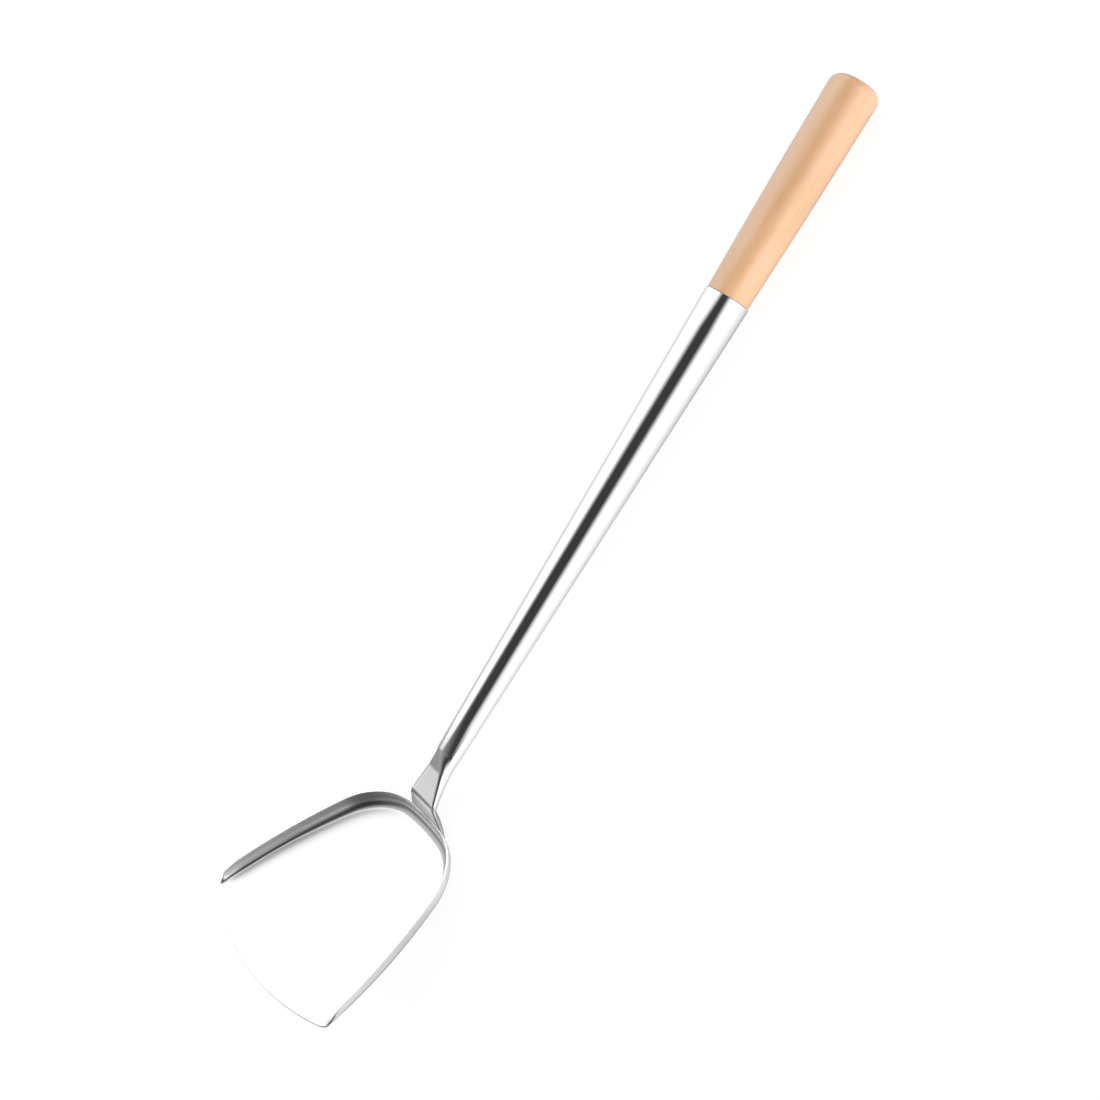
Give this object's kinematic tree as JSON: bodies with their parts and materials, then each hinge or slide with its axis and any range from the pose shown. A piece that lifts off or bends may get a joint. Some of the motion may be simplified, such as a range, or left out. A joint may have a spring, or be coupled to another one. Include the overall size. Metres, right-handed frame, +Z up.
{
  "type": "cooking spatula",
  "caption": "Wok spatula: polished steel scoop blade with a turned-up rim, long tapered tube handle and a plain turned wooden grip.",
  "frame": {"origin": "on the table, under the middle of the bounding box of the spatula as it lies at rest", "axes": "+X from the grip to the scoop's front edge, +Y to the object's left, +Z up; it rests on the blade's heel and the end of the grip with the scoop facing up"},
  "size_m": [0.4632, 0.1036, 0.0542],
  "materials": {
    "blade_steel": "polished stainless steel sheet",
    "tube_steel": "mirror-polished stainless steel tube",
    "grip_wood": "pale fine-grained wood, sanded and lightly sealed",
    "nail_steel": "plain steel wire nail"
  },
  "bodies": {
    "root": {"scoop_blade": "blade_steel", "handle_tube": "tube_steel", "wooden_grip": "grip_wood", "grip_nail": "nail_steel"}
  },
  "joints": []
}
